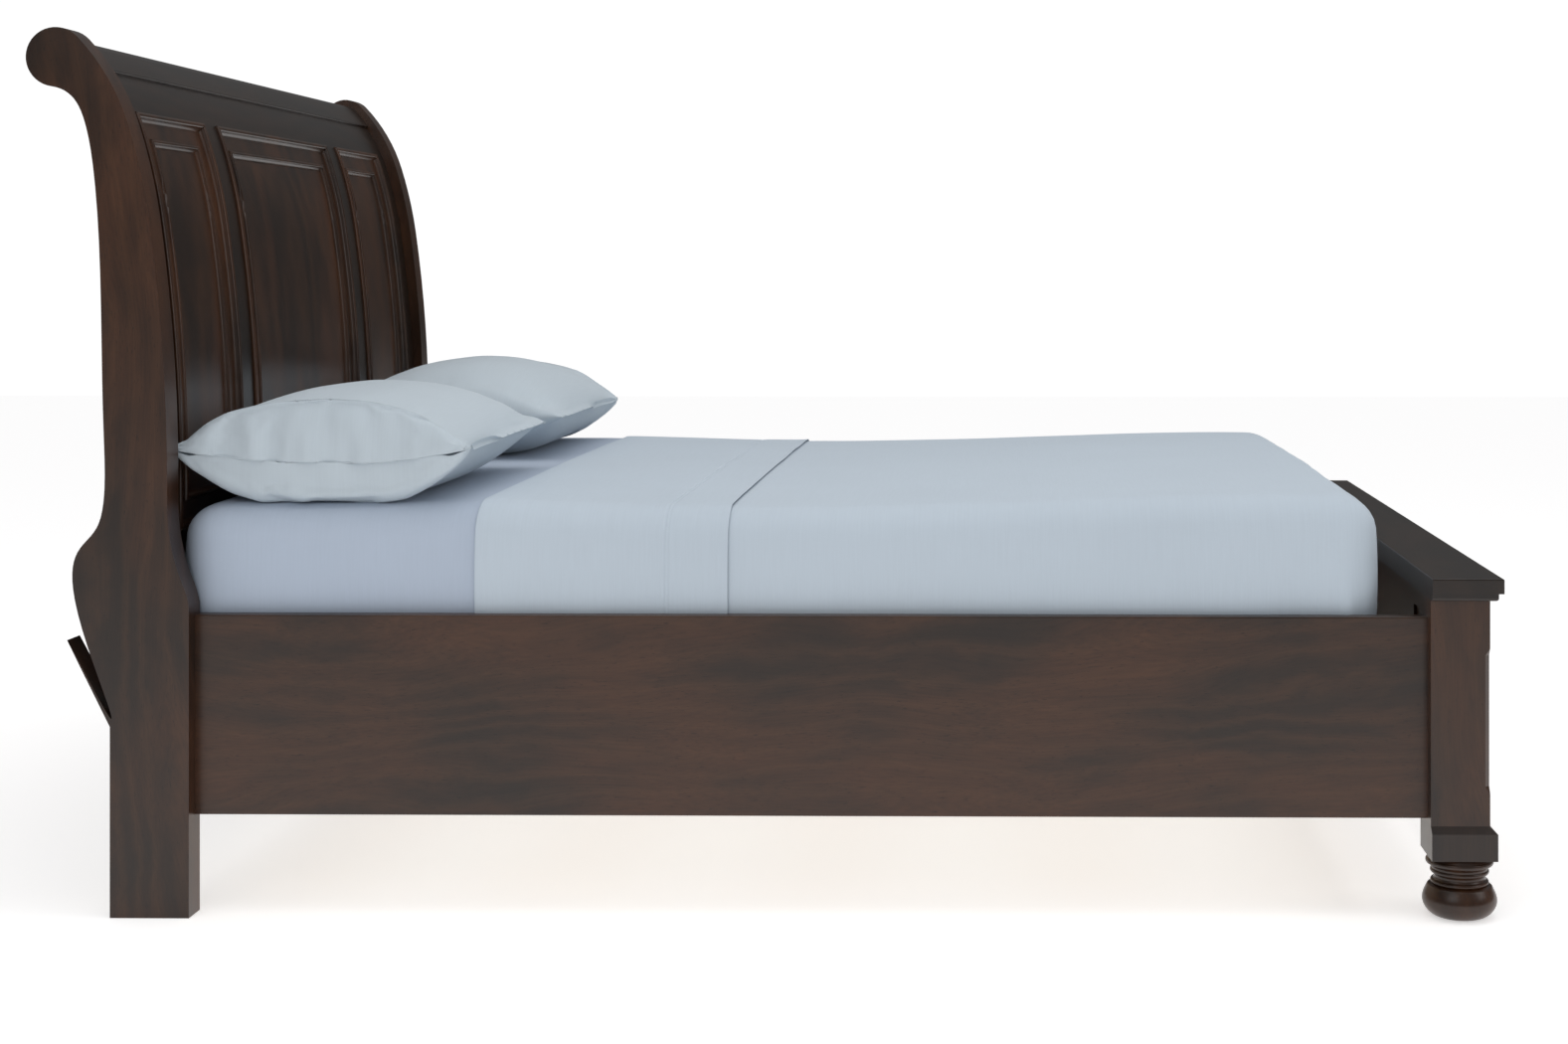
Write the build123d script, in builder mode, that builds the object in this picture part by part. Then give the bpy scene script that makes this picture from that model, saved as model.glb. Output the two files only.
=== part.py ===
"""Sleigh bed with a scrolled headboard, low footboard, box spring, mattress and bedding.

Frame: millimetres, +X towards the foot, +Y across the bed, +Z up. The origin is on the
floor under the middle of the whole bed. The bed is symmetric about the XZ plane.
"""
from build123d import *
from math import cos, degrees, radians, sin
import os

os.makedirs("parts", exist_ok=True)

# ---------------------------------------------------------------- driving dimensions
# Sleigh curve of the headboard, from its waist upwards: (radius, degrees turned backwards)
waist_x = -995.5
waist_z = 730.0
sleigh_arcs = [(3200.0, 8.0), (975.0, 9.4), (376.0, 26.0)]
scroll_radius = 50.0
scroll_stop_angle = 262.0

# Headboard posts: shaped planks with a straight leg
post_thickness = 50.0
post_outer_y = 825.0
leg_front_x = -959.0
leg_back_x = -1092.0
flare_z = 521.0
leg_top_back_z = 320.0

# Headboard framework: depths are measured back from the posts' front curve
crest_depth = 16.0
crest_back_depth = 46.0
frame_depth = 22.0
frame_back_depth = 44.0
panel_depth = 32.0
panel_back_depth = 40.0
crest_joint_turn = 35.5
frieze_bottom_turn = 23.1
opening_bottom_z = 636.0
bottom_rail_z = 500.0
stretcher_bottom_z = 167.0
stretcher_top_z = 260.0
muntin_inner_y = 332.0
muntin_outer_y = 400.0
stile_inner_y = 717.0

# Panel trim: an ovolo, a flat margin and an inner bead, running around each panel
trim_width = 64.0
margin_start = 17.0
margin_end = 47.0
margin_depth = 28.0

# Side rails and the support under the mattress
rail_outer_y = 797.0
rail_thickness = 28.0
rail_bottom_z = 167.0
rail_top_z = 504.0
rail_ease = 2.5
cleat_size = 38.0
cleat_width = 28.0
slat_count = 5
slat_width = 89.0
slat_thickness = 19.0
slat_pitch = 455.0
slat_end_gap = 2.0
center_leg_size = 44.0
glide_height = 8.0

# Footboard
foot_post_x = 1115.5
foot_post_depth = 98.5
foot_post_outer_y = 822.0
foot_post_inner_y = 740.0
foot_post_top_z = 536.0
stop_chamfer = 8.0
stop_chamfer_z = (226.0, 444.0)
stop_chamfer_run = 12.0
bun_offset = 56.5
bun_centre_y = 777.0
plinth_bottom_z = 104.0
plinth_top_z = 160.0
plinth_overhang = 11.0
cap_outer_y = 840.5
cap_bottom_z = 549.0
cap_top_z = 574.0
subcap_overhang = 12.0
foot_frame_x = 1165.0
foot_frame_depth = 25.0
foot_rail_bottom_z = 167.0
foot_rail_height = 73.0
foot_panel_top_z = 466.0
foot_panel_recess = 12.0
foot_panel_thickness = 8.0
foot_bead_width = 18.0
foot_bead_slope = 11.0
foot_bead_lip = 2.0

# Bed-rail fittings
plate_thickness = 3.0
plate_width = 20.0
plate_height = 150.0
plate_z = 335.0
hook_reach = 12.0
hook_height = 28.0
hook_spacing = 76.0
keeper_slot_width = 6.0
keeper_slot_height = 36.0
screw_radius = 2.2
screw_head_radius = 4.2
screw_head_depth = 2.0
screw_length = 32.0
support_screw_length = 46.0

# Box spring, mattress and bedding
bed_half_width = 762.0
bed_head_x = -998.0
bed_foot_x = 1034.0
box_spring_height = 203.0
mattress_height = 254.0
soft_gap = 0.3
mattress_corner = 70.0
mattress_roll = 45.0
cloth_hem_z = 440.0
fold_x = -491.0
cuff_hem_x = -62.0
pillow_size = (492.0, 640.0, 196.0)
pillow_corner = 96.0
pillow_roll = 90.0
pillow_x = -764.0
pillow_ys = {"left": -430.0, "right": 375.0}

# ---------------------------------------------------------------- the sleigh curve
# Each entry: run along the curve where the arc starts, centre, radius, first and last angle
curve = []
run_end = 0.0
turn = 0.0
tip = Vector(waist_x, waist_z)
for radius, sweep_angle in sleigh_arcs:
    centre = tip - Vector(cos(radians(turn)), sin(radians(turn))) * radius
    curve.append((run_end, centre, radius, turn, turn + sweep_angle))
    run_end += radius * radians(sweep_angle)
    turn += sweep_angle
    tip = centre + Vector(cos(radians(turn)), sin(radians(turn))) * radius
scroll_turn = turn
scroll_centre = tip - Vector(cos(radians(turn)), sin(radians(turn))) * scroll_radius
half_length = scroll_radius - scroll_centre.X


def run_at_turn(angle):
    """Run along the front curve, from the waist, where it has turned by this angle."""
    for start, centre, radius, first, last in curve:
        if angle <= last:
            return start + radius * radians(angle - first)
    return run_end


def turn_at_run(run):
    """Angle in degrees that the front curve has turned through at this run."""
    for start, centre, radius, first, last in curve:
        if run <= start + radius * radians(last - first):
            return first + degrees(max(run - start, 0.0) / radius)
    return scroll_turn


def on_curve(run, depth):
    """Point (x, z) at this run, set back from the front curve by depth."""
    if run <= 0:
        return (waist_x - depth, waist_z + run)
    for start, centre, radius, first, last in curve:
        if run <= start + radius * radians(last - first) + 0.001:
            angle = radians(first) + (run - start) / radius
            reach = radius - depth
            return (centre.X + reach * cos(angle), centre.Y + reach * sin(angle))


def trace(run_from, run_to, depth):
    """Draw the sleigh curve at a depth, between two runs, into the active BuildLine."""
    if run_from < 0:
        Line(on_curve(run_from, depth), on_curve(min(run_to, 0), depth))
    for start, centre, radius, first, last in curve:
        low = max(run_from, start)
        high = min(run_to, start + radius * radians(last - first))
        if high > low:
            ThreePointArc(*(on_curve(run, depth) for run in (low, (low + high) / 2, high)))


def across(y):
    """XZ plane through y; a sketch on it is extruded towards -Y."""
    return Plane.XZ.offset(-y)


def curved_board(run_from, run_to, depth, back_depth, y_low, y_high):
    """Board that follows the sleigh curve, from one run to another."""
    with BuildPart() as board:
        with BuildSketch(across(y_high)):
            with BuildLine():
                trace(run_from, run_to, depth)
                trace(run_from, run_to, back_depth)
                Line(on_curve(run_from, depth), on_curve(run_from, back_depth))
                Line(on_curve(run_to, depth), on_curve(run_to, back_depth))
            make_face()
        extrude(amount=y_high - y_low)
    return board.part


def save(shape, name):
    """Label one finished piece and write it as a STEP file."""
    shape.label = name
    export_step(shape, f"parts/{name}.step")


def block(x_range, y_range, z_range):
    """Plain board between three pairs of coordinates."""
    with BuildPart() as board:
        with BuildSketch(Plane.XY.offset(z_range[0])):
            with Locations(((x_range[0] + x_range[1]) / 2, (y_range[0] + y_range[1]) / 2)):
                Rectangle(abs(x_range[1] - x_range[0]), abs(y_range[1] - y_range[0]))
        extrude(amount=z_range[1] - z_range[0])
    return board.part


# ---------------------------------------------------------------- fasteners and fittings
def wood_screw(place, length):
    """Countersunk screw, its head flush with a plane and its shank along the plane's -Z."""
    with BuildPart() as screw:
        with BuildSketch(Plane(place.origin, x_dir=place.x_dir, z_dir=-place.y_dir)):
            with BuildLine():
                Polyline(
                    (0, 0),
                    (screw_head_radius, 0),
                    (screw_radius, -screw_head_depth),
                    (screw_radius, -length),
                    (0, -length),
                    close=True,
                )
            make_face()
        revolve(axis=Axis(place.origin, place.z_dir))
    return screw.part


# Each corner has a plate with two hooks let into the rail's end, and a slotted keeper
# plate let into the post. joint_x is the plane where the rail's end meets the post, and
# way is +1 where the rail lies on the +X side of it.
rail_centre_y = rail_outer_y - rail_thickness / 2
rail_joints = [(leg_front_x, 1), (foot_post_x, -1)]
hook_offsets = (-hook_spacing / 2, hook_spacing / 2)
screw_offsets = (-67.0, 67.0)


def end_pocket(joint_x, way, side):
    """Pocket in a rail's end that seats the hook plate."""
    y = side * rail_centre_y
    return block(
        sorted((joint_x, joint_x + way * plate_thickness)),
        (y - plate_width / 2, y + plate_width / 2),
        (plate_z - plate_height / 2, plate_z + plate_height / 2),
    )


def hook_mortise(joint_x, way, side):
    """Slot in a post that leaves room for the hooks behind the keeper plate."""
    y = side * rail_centre_y
    reach = hook_spacing / 2 + 24
    return block(
        sorted((joint_x, joint_x - way * (hook_reach + 6))),
        (y - keeper_slot_width / 2 - 1, y + keeper_slot_width / 2 + 1),
        (plate_z - reach, plate_z + reach),
    )


def plate_screws(joint_x, way, side):
    """The screws of one plate, driven along X the way the plate is let in."""
    screws = []
    for offset in screw_offsets:
        spot = (joint_x, side * rail_centre_y, plate_z + offset)
        screws.append(wood_screw(Plane(spot, x_dir=(0, 1, 0), z_dir=(-way, 0, 0)), screw_length))
    return screws


def hook_plate(joint_x, way, side):
    """Steel plate in the rail's end, with two hooks that stand out of it."""
    y = side * rail_centre_y
    with BuildPart() as plate:
        add(end_pocket(joint_x, way, side))
        for offset in hook_offsets:
            top = plate_z + offset + hook_height / 2
            neck = plate_z + offset - hook_height / 2 + 3
            lip = neck - 10
            with BuildSketch(across(y)):
                with BuildLine():
                    Polyline(
                        (joint_x, top),
                        (joint_x - way * hook_reach, top),
                        (joint_x - way * hook_reach, lip),
                        (joint_x - way * (plate_thickness + 1), lip),
                        (joint_x - way * (plate_thickness + 1), neck),
                        (joint_x, neck),
                        close=True,
                    )
                make_face()
            extrude(amount=plate_thickness / 2, both=True)
        for screw in plate_screws(joint_x, way, side):
            add(screw, mode=Mode.SUBTRACT)
    return plate.part


def keeper_plate(joint_x, way, side):
    """Slotted steel plate let into the post; the hooks drop behind its slots."""
    y = side * rail_centre_y
    with BuildPart() as plate:
        add(end_pocket(joint_x, -way, side))
        for offset in hook_offsets:
            with Locations((joint_x, y, plate_z + offset + 5)):
                Box(4 * plate_thickness, keeper_slot_width, keeper_slot_height, mode=Mode.SUBTRACT)
        for screw in plate_screws(joint_x, -way, side):
            add(screw, mode=Mode.SUBTRACT)
    return plate.part


def cut_rail_seat(joint_x, way, side):
    """Cut a post for its keeper plate, the hooks and the plate's screws."""
    add(end_pocket(joint_x, -way, side), mode=Mode.SUBTRACT)
    add(hook_mortise(joint_x, way, side), mode=Mode.SUBTRACT)
    for screw in plate_screws(joint_x, -way, side):
        add(screw, mode=Mode.SUBTRACT)


# Where slats lie, and the screws that fix the cleats to the rails and the slats to the cleats
slat_z = rail_bottom_z + cleat_size
slat_top_z = slat_z + slat_thickness
slat_xs = [80 + (i - (slat_count - 1) / 2) * slat_pitch for i in range(slat_count)]
slat_half = rail_outer_y - rail_thickness - slat_end_gap
cleat_face = rail_outer_y - rail_thickness - cleat_width


def support_screws(side):
    """Screws on one side of the bed: one beside each slat, and one down through its end."""
    screws = []
    for x in slat_xs:
        cleat_spot = (x + 120, side * cleat_face, rail_bottom_z + cleat_size / 2)
        level = Plane(cleat_spot, x_dir=(1, 0, 0), z_dir=(0, -side, 0))
        screws.append(wood_screw(level, support_screw_length))
        slat_spot = (x, side * (cleat_face + cleat_width / 2), slat_top_z)
        upright = Plane(slat_spot, x_dir=(1, 0, 0), z_dir=(0, 0, 1))
        screws.append(wood_screw(upright, support_screw_length))
    return screws


# ---------------------------------------------------------------- headboard
crest_joint_run = run_at_turn(crest_joint_turn)
frieze_run = run_at_turn(frieze_bottom_turn)
opening_run = opening_bottom_z - waist_z
post_inner_y = post_outer_y - post_thickness

for side, name in ((-1, "left"), (1, "right")):
    y_high = max(side * post_outer_y, side * post_inner_y)
    with BuildPart() as head_post:
        with BuildSketch(across(y_high)):
            with BuildLine():
                Line((leg_front_x, 0), (leg_front_x, flare_z))
                Spline(
                    (leg_front_x, flare_z),
                    (-974.5, 571.0),
                    (-987.0, 614.0),
                    (waist_x, 700.0),
                    tangents=[(-0.12, 1), (0, 1)],
                )
                Line((waist_x, 700.0), (waist_x, waist_z))
                trace(0, run_end, 0)
                scroll = CenterArc(
                    scroll_centre, scroll_radius, scroll_turn, scroll_stop_angle - scroll_turn
                )
                Spline(
                    scroll @ 1,
                    (-1153.0, 1373.0),
                    (-1132.0, 1325.0),
                    (-1119.5, 1252.0),
                    (-1108.0, 1070.0),
                    (-1102.5, 815.0),
                    (-1113.0, 656.0),
                    (-1130.0, 456.0),
                    (-1113.0, 371.0),
                    (leg_back_x, leg_top_back_z),
                    tangents=[scroll % 1, (0.5, -1)],
                )
                Line((leg_back_x, leg_top_back_z), (leg_back_x, 0))
                Line((leg_back_x, 0), (leg_front_x, 0))
            make_face()
        extrude(amount=post_thickness)
        cut_rail_seat(leg_front_x, 1, side)
    save(head_post.part, f"head_post_{name}")

with BuildPart() as crest_rail:
    with BuildSketch(across(post_inner_y)):
        with BuildLine():
            trace(crest_joint_run, run_end, crest_depth)
            roll = CenterArc(
                scroll_centre, scroll_radius - crest_depth, scroll_turn, 280 - scroll_turn
            )
            Line(roll @ 1, on_curve(crest_joint_run, crest_back_depth))
            Line(on_curve(crest_joint_run, crest_back_depth), on_curve(crest_joint_run, crest_depth))
        make_face()
    extrude(amount=2 * post_inner_y)
    lower_front = crest_rail.edges().filter_by(Axis.Y).sort_by(Axis.X)[-1]
    fillet(lower_front, 2)
save(crest_rail.part, "crest_rail")

save(
    curved_board(
        frieze_run, crest_joint_run, frame_depth, frame_back_depth, -post_inner_y, post_inner_y
    ),
    "frieze_rail",
)
save(
    curved_board(
        bottom_rail_z - waist_z,
        opening_run,
        frame_depth,
        frame_back_depth,
        -post_inner_y,
        post_inner_y,
    ),
    "head_bottom_rail",
)
uprights = {
    "head_stile": (stile_inner_y, post_inner_y),
    "head_muntin": (muntin_inner_y, muntin_outer_y),
}
for side, name in ((-1, "left"), (1, "right")):
    for upright, (inner, outer) in uprights.items():
        low, high = sorted((side * inner, side * outer))
        board = curved_board(opening_run, frieze_run, frame_depth, frame_back_depth, low, high)
        save(board, f"{upright}_{name}")

lower_panel_x = (waist_x - frame_depth - 16, waist_x - frame_depth - 4)
save(
    block(lower_panel_x, (-post_inner_y, post_inner_y), (stretcher_top_z, bottom_rail_z)),
    "head_lower_panel",
)
save(
    block(
        (waist_x - frame_back_depth, waist_x - frame_depth),
        (-post_inner_y, post_inner_y),
        (stretcher_bottom_z, stretcher_top_z),
    ),
    "head_stretcher",
)


def draw_trim(place):
    """Draw the trim's section; place maps (distance in from the opening, depth) to a point."""
    Line(place(0, panel_depth), place(0, 19))
    ThreePointArc(place(0, 19), place(5, 16.5), place(10, 19))
    ThreePointArc(place(10, 19), place(12.2, 24.8), place(margin_start, margin_depth))
    Line(place(margin_start, margin_depth), place(margin_end, margin_depth))
    ThreePointArc(place(margin_end, margin_depth), place(50.5, 24.2), place(55, 25.2))
    ThreePointArc(place(55, 25.2), place(58, 30), place(trim_width, panel_depth))
    Line(place(trim_width, panel_depth), place(0, panel_depth))


def head_point(y, run, depth=panel_depth):
    """Point in space on the headboard, at a place across it and a run up the curve."""
    x, z = on_curve(run, depth)
    return Vector(x, y, z)


def mitre(y, run, y_in, run_in):
    """Plane through a trim's outer and inner corners, square to the panel's face."""
    corner = head_point(y, run)
    inward = head_point(y_in, run_in) - corner
    angle = radians(turn_at_run((run + run_in) / 2))
    outward = Vector(cos(angle), 0, sin(angle))
    return Plane(corner, x_dir=inward, z_dir=inward.cross(outward))


def head_trim(y_low, y_high, run_low, run_high, panel):
    """Four mitred strips of trim around one opening of the headboard, bedded on its panel."""
    strips = []
    overlap = trim_width / 5
    middle_y = (y_low + y_high) / 2
    middle_run = (run_low + run_high) / 2
    opening = block((-half_length, leg_front_x), (y_low, y_high), (0, 2 * waist_z))
    corners = {
        (y, run): mitre(y, run, y + way_y * trim_width, run + way_run * trim_width)
        for y, way_y in ((y_low, 1), (y_high, -1))
        for run, way_run in ((run_low, 1), (run_high, -1))
    }
    for y, way_y in ((y_low, 1), (y_high, -1)):
        foot = head_point(y, run_low - overlap, 0)
        with BuildPart() as upright_strip:
            with BuildLine(across(y)):
                trace(run_low - overlap, run_high + overlap, 0)
            with BuildSketch(Plane(foot, x_dir=(0, way_y, 0), z_dir=(0, 0, 1))):
                with BuildLine():
                    draw_trim(lambda inset, depth: (inset, depth * way_y))
                make_face()
            sweep()
            for run in (run_low, run_high):
                inside = head_point(y + way_y * trim_width, middle_run)
                split(bisect_by=facing(corners[(y, run)], inside), keep=Keep.TOP)
            add(opening, mode=Mode.INTERSECT)
        strips.append(upright_strip.part)
    for run, way_run in ((run_low, 1), (run_high, -1)):
        with BuildPart() as level_strip:
            with BuildSketch(across(y_high)):
                with BuildLine():
                    draw_trim(lambda inset, depth: on_curve(run + way_run * inset, depth))
                make_face()
            extrude(amount=y_high - y_low)
            add(panel, mode=Mode.SUBTRACT)
            for y in (y_low, y_high):
                inside = head_point(middle_y, run + way_run * trim_width)
                split(bisect_by=facing(corners[(y, run)], inside), keep=Keep.TOP)
        strips.append(level_strip.part)
    return Compound(children=strips)


def facing(plane, point):
    """The plane, turned over if need be so that the point is on its top side."""
    if (point - plane.origin).dot(plane.z_dir) < 0:
        return Plane(plane.origin, x_dir=plane.x_dir, z_dir=-plane.z_dir)
    return plane


openings_y = {
    "left": (-stile_inner_y, -muntin_outer_y),
    "center": (-muntin_inner_y, muntin_inner_y),
    "right": (muntin_outer_y, stile_inner_y),
}
for name, (low, high) in openings_y.items():
    board = curved_board(opening_run, frieze_run, panel_depth, panel_back_depth, low, high)
    save(board, f"head_panel_{name}")
    save(head_trim(low, high, opening_run, frieze_run, board), f"head_trim_{name}")

# ---------------------------------------------------------------- side rails and support
support = {side: support_screws(side) for side in (-1, 1)}
for side, name in ((-1, "left"), (1, "right")):
    inner_y = side * (rail_outer_y - rail_thickness)
    with BuildPart() as side_rail:
        with BuildSketch(Plane.XY.offset(rail_bottom_z)):
            with Locations(((leg_front_x + foot_post_x) / 2, side * rail_centre_y)):
                Rectangle(foot_post_x - leg_front_x, rail_thickness)
        extrude(amount=rail_top_z - rail_bottom_z)
        fillet(side_rail.edges().filter_by(Axis.X), rail_ease)
        for joint_x, way in rail_joints:
            add(end_pocket(joint_x, way, side), mode=Mode.SUBTRACT)
            for screw in plate_screws(joint_x, way, side):
                add(screw, mode=Mode.SUBTRACT)
        add(support[side], mode=Mode.SUBTRACT)
    save(side_rail.part, f"side_rail_{name}")
    cleat_y = sorted((inner_y, inner_y - side * cleat_width))
    with BuildPart() as slat_cleat:
        add(block((leg_front_x + 40, foot_post_x - 40), cleat_y, (rail_bottom_z, slat_z)))
        add(support[side], mode=Mode.SUBTRACT)
    save(slat_cleat.part, f"slat_cleat_{name}")

joint_list = [(joint_x, way, side) for joint_x, way in rail_joints for side in (-1, 1)]
save(Compound(children=[hook_plate(*joint) for joint in joint_list]), "hook_plates")
save(Compound(children=[keeper_plate(*joint) for joint in joint_list]), "keeper_plates")
fixings = []
for joint_x, way, side in joint_list:
    fixings += plate_screws(joint_x, way, side)
    fixings += plate_screws(joint_x, -way, side)
save(Compound(children=fixings), "plate_screws")
save(Compound(children=support[-1] + support[1]), "support_screws")

glides = []
for number, x in enumerate(slat_xs, start=1):
    half = slat_width / 2
    with BuildPart() as slat:
        add(block((x - half, x + half), (-slat_half, slat_half), (slat_z, slat_top_z)))
        add(support[-1] + support[1], mode=Mode.SUBTRACT)
    save(slat.part, f"slat_{number}")
    with BuildPart() as center_leg:
        with BuildSketch(Plane.XY.offset(glide_height)):
            with Locations((x, 0)):
                Rectangle(center_leg_size, center_leg_size)
        extrude(amount=slat_z - glide_height)
        chamfer(center_leg.faces().sort_by(Axis.Z)[0].edges(), 2)
    save(center_leg.part, f"center_leg_{number}")
    with BuildPart() as glide:
        with BuildSketch():
            with Locations((x, 0)):
                Circle(15)
        extrude(amount=glide_height)
        chamfer(glide.faces().sort_by(Axis.Z)[0].edges(), 2)
    glides.append(glide.part)
save(Compound(children=glides), "leg_glides")

# ---------------------------------------------------------------- footboard
foot_post_outer_x = foot_post_x + foot_post_depth
post_centre_y = (foot_post_inner_y + foot_post_outer_y) / 2
foot_post_width = foot_post_outer_y - foot_post_inner_y

for side, name in ((-1, "left"), (1, "right")):
    with BuildPart() as foot_post:
        with BuildSketch(Plane.XY.offset(plinth_top_z)):
            with Locations((foot_post_x + foot_post_depth / 2, side * post_centre_y)):
                Rectangle(foot_post_depth, foot_post_width)
        extrude(amount=foot_post_top_z - plinth_top_z)
        # Stopped chamfers on the two outward corners, running out to nothing at both ends
        for corner_y, way in ((foot_post_inner_y, 1), (foot_post_outer_y, -1)):
            corner = Vector(foot_post_outer_x, side * corner_y)
            low, high = stop_chamfer_z
            stations = (
                (low - stop_chamfer_run, 0.2),
                (low, stop_chamfer),
                (high, stop_chamfer),
                (high + stop_chamfer_run, 0.2),
            )
            for z, size in stations:
                with BuildSketch(Plane.XY.offset(z)):
                    with BuildLine():
                        Polyline(
                            corner,
                            corner + Vector(-size, 0),
                            corner + Vector(0, side * way * size),
                            close=True,
                        )
                    make_face()
            loft(ruled=True, mode=Mode.SUBTRACT)
        cut_rail_seat(foot_post_x, -1, side)
    save(foot_post.part, f"foot_post_{name}")

    plinth_low, plinth_high = sorted(
        (side * (foot_post_inner_y - plinth_overhang), side * (foot_post_outer_y + plinth_overhang))
    )
    with BuildPart() as foot_plinth:
        plinth_x = (foot_post_x, foot_post_outer_x + plinth_overhang)
        add(block(plinth_x, (plinth_low, plinth_high), (plinth_bottom_z, plinth_top_z)))
        rim = foot_plinth.faces().sort_by(Axis.Z)[-1].edges().sort_by(Axis.X)[1:]
        chamfer(rim, plinth_overhang)
    save(foot_plinth.part, f"foot_plinth_{name}")

    # Turned bun foot: a flattened ball, a collar, a waist and a top ring
    bun_centre = (foot_post_x + bun_offset, side * bun_centre_y, 0)
    with BuildPart() as bun_foot:
        with BuildSketch(Plane(bun_centre, x_dir=(1, 0, 0), z_dir=(0, -1, 0))):
            with BuildLine():
                Line((0, 0), (30, 0))
                Spline(
                    (30, 0),
                    (54, 9.5),
                    (62.2, 29),
                    (55, 49.5),
                    (45, 55),
                    tangents=[(1, 0), (-1, 0.2)],
                )
                ThreePointArc((45, 55), (48.5, 58.5), (45, 62))
                ThreePointArc((45, 62), (42.5, 67), (45, 72))
                ThreePointArc((45, 72), (49, 76), (47, 80))
                Spline((47, 80), (50.5, 86), (55, 88.5), tangents=[(0, 1), (1, 0.2)])
                ThreePointArc((55, 88.5), (56.5, 93), (54, 97))
                Line((54, 97), (50, plinth_bottom_z))
                Line((50, plinth_bottom_z), (0, plinth_bottom_z))
                Line((0, plinth_bottom_z), (0, 0))
            make_face()
        revolve(axis=Axis(bun_centre, (0, 0, 1)))
    save(bun_foot.part, f"bun_foot_{name}")

with BuildPart() as foot_cap:
    add(block((foot_post_x, half_length), (-cap_outer_y, cap_outer_y), (cap_bottom_z, cap_top_z)))
    fillet(foot_cap.faces().sort_by(Axis.Z)[-1].edges(), 2.5)
save(foot_cap.part, "foot_cap")

with BuildPart() as foot_subcap:
    subcap_x = (foot_post_x, foot_post_outer_x + subcap_overhang)
    subcap_y = foot_post_outer_y + subcap_overhang
    add(block(subcap_x, (-subcap_y, subcap_y), (foot_post_top_z, cap_bottom_z)))
    under = foot_subcap.faces().sort_by(Axis.Z)[0].edges().sort_by(Axis.X)[1:]
    fillet(under, 5)
save(foot_subcap.part, "foot_subcap")

frame_x = (foot_frame_x, foot_frame_x + foot_frame_depth)
foot_rail_top_z = foot_rail_bottom_z + foot_rail_height
save(
    block(frame_x, (-foot_post_inner_y, foot_post_inner_y), (foot_panel_top_z, foot_post_top_z)),
    "foot_top_rail",
)
save(
    block(frame_x, (-foot_post_inner_y, foot_post_inner_y), (foot_rail_bottom_z, foot_rail_top_z)),
    "foot_bottom_rail",
)
foot_panel_z = (foot_rail_top_z, foot_panel_top_z)
for side, name in ((-1, "left"), (1, "right")):
    low, high = sorted((side * muntin_inner_y, side * muntin_outer_y))
    save(block(frame_x, (low, high), foot_panel_z), f"foot_muntin_{name}")

foot_openings = {
    "left": (-foot_post_inner_y, -muntin_outer_y),
    "center": (-muntin_inner_y, muntin_inner_y),
    "right": (muntin_outer_y, foot_post_inner_y),
}
panel_face_x = frame_x[1] - foot_panel_recess
panel_back_x = panel_face_x - foot_panel_thickness
panel_rise = foot_panel_top_z - foot_rail_top_z
foot_trims = []
for name, (low, high) in foot_openings.items():
    save(block((panel_back_x, panel_face_x), (low, high), foot_panel_z), f"foot_panel_{name}")
    # Sloped bead around the panel, standing a little proud of the frame
    with BuildPart() as bead:
        with BuildSketch(Plane.YZ.offset(panel_face_x)):
            with Locations(((low + high) / 2, foot_rail_top_z + panel_rise / 2)):
                Rectangle(high - low, panel_rise)
                Rectangle(
                    high - low - 2 * foot_bead_width,
                    panel_rise - 2 * foot_bead_width,
                    mode=Mode.SUBTRACT,
                )
        extrude(amount=foot_panel_recess + foot_bead_lip)
        inner_rim = bead.faces().sort_by(Axis.X)[-1].inner_wires()[0].edges()
        chamfer(inner_rim, foot_bead_slope)
    foot_trims.append(bead.part)
save(Compound(children=foot_trims), "foot_trim")

# ---------------------------------------------------------------- box spring, mattress, bedding
bed_x = (bed_head_x, bed_foot_x)
box_top_z = slat_top_z + box_spring_height
mattress_z = (box_top_z + soft_gap, box_top_z + soft_gap + mattress_height)

with BuildPart() as box_spring:
    box_half = bed_half_width - 2
    add(block(bed_x, (-box_half, box_half), (slat_top_z + soft_gap, box_top_z)))
    fillet(box_spring.edges().filter_by(Axis.Z), 35)
    fillet(box_spring.faces().sort_by(Axis.Z)[-1].edges(), 10)
save(box_spring.part, "box_spring")


def mattress_form(growth):
    """The mattress's rounded block, grown by this much on its sides and top."""
    with BuildPart() as form:
        with BuildSketch(Plane.XY.offset(mattress_z[0])):
            with Locations(((bed_x[0] + bed_x[1]) / 2, 0)):
                RectangleRounded(
                    bed_x[1] - bed_x[0] + 2 * growth,
                    2 * (bed_half_width + growth),
                    mattress_corner + growth,
                )
        extrude(amount=mattress_height + growth)
        fillet(form.faces().sort_by(Axis.Z)[-1].edges(), mattress_roll + growth)
    return form.part


def cloth_layer(near, far, x_range):
    """Closed skin between two growths of the mattress, hanging to the hem between two x."""
    room = mattress_height + 100
    with BuildPart() as layer:
        add(mattress_form(far))
        add(mattress_form(near), mode=Mode.SUBTRACT)
        add(block(x_range, (-900, 900), (cloth_hem_z, cloth_hem_z + room)), mode=Mode.INTERSECT)
    return layer.part


with BuildPart() as mattress:
    add(mattress_form(0))
    fillet(mattress.faces().sort_by(Axis.Z)[0].edges(), 20)
save(mattress.part, "mattress")

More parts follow.
